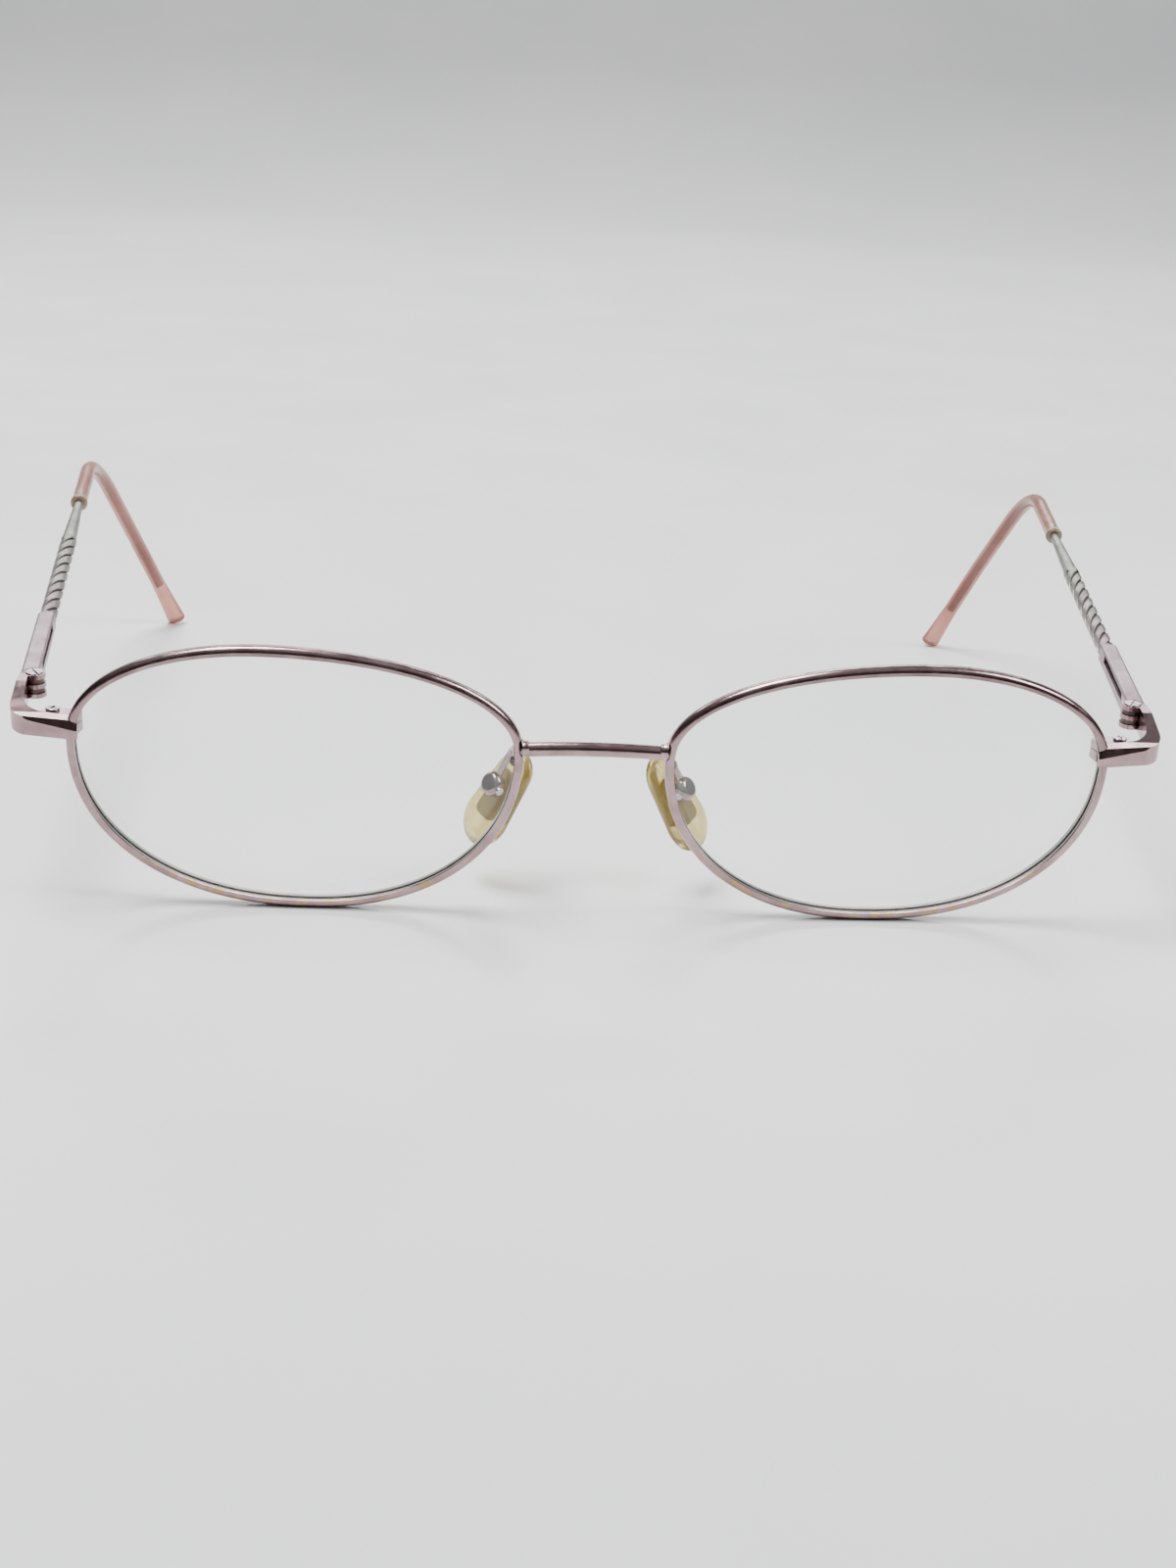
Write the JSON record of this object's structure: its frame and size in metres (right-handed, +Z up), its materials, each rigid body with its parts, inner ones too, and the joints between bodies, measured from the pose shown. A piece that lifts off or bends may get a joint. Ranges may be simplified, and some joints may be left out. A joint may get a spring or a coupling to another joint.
{
  "type": "reading glasses",
  "caption": "Full-rim metal reading glasses with sprung folding temples, twisted arms, bent plastic tips and rocking nose pads.",
  "frame": {"origin": "centre of the footprint on the table, at table height, with the temples open", "axes": "+X towards the wearer's left, +Y from the lenses back to the temple tips, +Z up; the pair stands on the bottom of its rims and its temple tips, so the lens plane leans 2.7 degrees back"},
  "size_m": [0.1474, 0.1162, 0.032],
  "materials": {
    "frame_metal": "polished rose-mauve plating",
    "lock_metal": "polished rose-mauve plating",
    "screw_metal": "polished steel",
    "box_metal": "satin lilac-pink plating",
    "twist_metal": "bright grey-rose plating",
    "hinge_steel": "turned steel",
    "spring_steel": "drawn wire",
    "lens_clear": "clear, polished",
    "tip_plastic": "translucent salmon pink, polished",
    "pad_soft": "clear soft plastic, yellowed",
    "pad_core": "clear hard plastic, yellowed"
  },
  "bodies": {
    "front": {"bridge": "frame_metal", "left_rim": "frame_metal", "left_lens": "lens_clear", "left_end_piece": "frame_metal", "left_hinge_screw": "screw_metal", "left_rim_lock_upper": "lock_metal", "left_rim_lock_lower": "lock_metal", "left_rim_lock_screw": "screw_metal", "left_pad_arm": "frame_metal", "left_pad_holder": "frame_metal", "left_pad_screw": "screw_metal", "right_rim": "frame_metal", "right_lens": "lens_clear", "right_end_piece": "frame_metal", "right_hinge_screw": "screw_metal", "right_rim_lock_upper": "lock_metal", "right_rim_lock_lower": "lock_metal", "right_rim_lock_screw": "screw_metal", "right_pad_arm": "frame_metal", "right_pad_holder": "frame_metal", "right_pad_screw": "screw_metal"},
    "left_carriage": {"left_hinge_carriage": "hinge_steel"},
    "left_temple": {"left_spring_box": "box_metal", "left_spring_plug": "hinge_steel", "left_hinge_spring": "spring_steel", "left_temple_shaft": "twist_metal", "left_temple_tip": "tip_plastic"},
    "left_pad": {"left_nose_pad": "pad_soft", "left_pad_insert": "pad_core"},
    "right_carriage": {"right_hinge_carriage": "hinge_steel"},
    "right_temple": {"right_spring_box": "box_metal", "right_spring_plug": "hinge_steel", "right_hinge_spring": "spring_steel", "right_temple_shaft": "twist_metal", "right_temple_tip": "tip_plastic"},
    "right_pad": {"right_nose_pad": "pad_soft", "right_pad_insert": "pad_core"}
  },
  "joints": [
    {"name": "left_temple_fold", "type": "hinge", "parent": "front", "child": "left_carriage", "pos_m": [0.06535, -0.0445, 0.02268], "axis": [0, -0.047, 0.9989], "range_deg": [0, 93]},
    {"name": "left_spring_travel", "type": "slide", "parent": "left_carriage", "child": "left_temple", "axis": [0.0836, 0.9916, 0.099], "range_m": [0, 0.0012], "stiffness_N_per_m": 800, "springref_m": -0.0005},
    {"name": "left_pad_rock", "type": "hinge", "parent": "front", "child": "left_pad", "pos_m": [0.0115, -0.04794, 0.01281], "axis": [-0.5167, -0.8211, -0.2425], "range_deg": [-8, 8]},
    {"name": "right_temple_fold", "type": "hinge", "parent": "front", "child": "right_carriage", "pos_m": [-0.06535, -0.0445, 0.02268], "axis": [0, 0.047, -0.9989], "range_deg": [0, 86]},
    {"name": "right_spring_travel", "type": "slide", "parent": "right_carriage", "child": "right_temple", "axis": [-0.0836, 0.9916, 0.099], "range_m": [0, 0.0012], "stiffness_N_per_m": 800, "springref_m": -0.0005},
    {"name": "right_pad_rock", "type": "hinge", "parent": "front", "child": "right_pad", "pos_m": [-0.0115, -0.04794, 0.01281], "axis": [-0.5167, 0.8211, 0.2425], "range_deg": [-8, 8]}
  ]
}
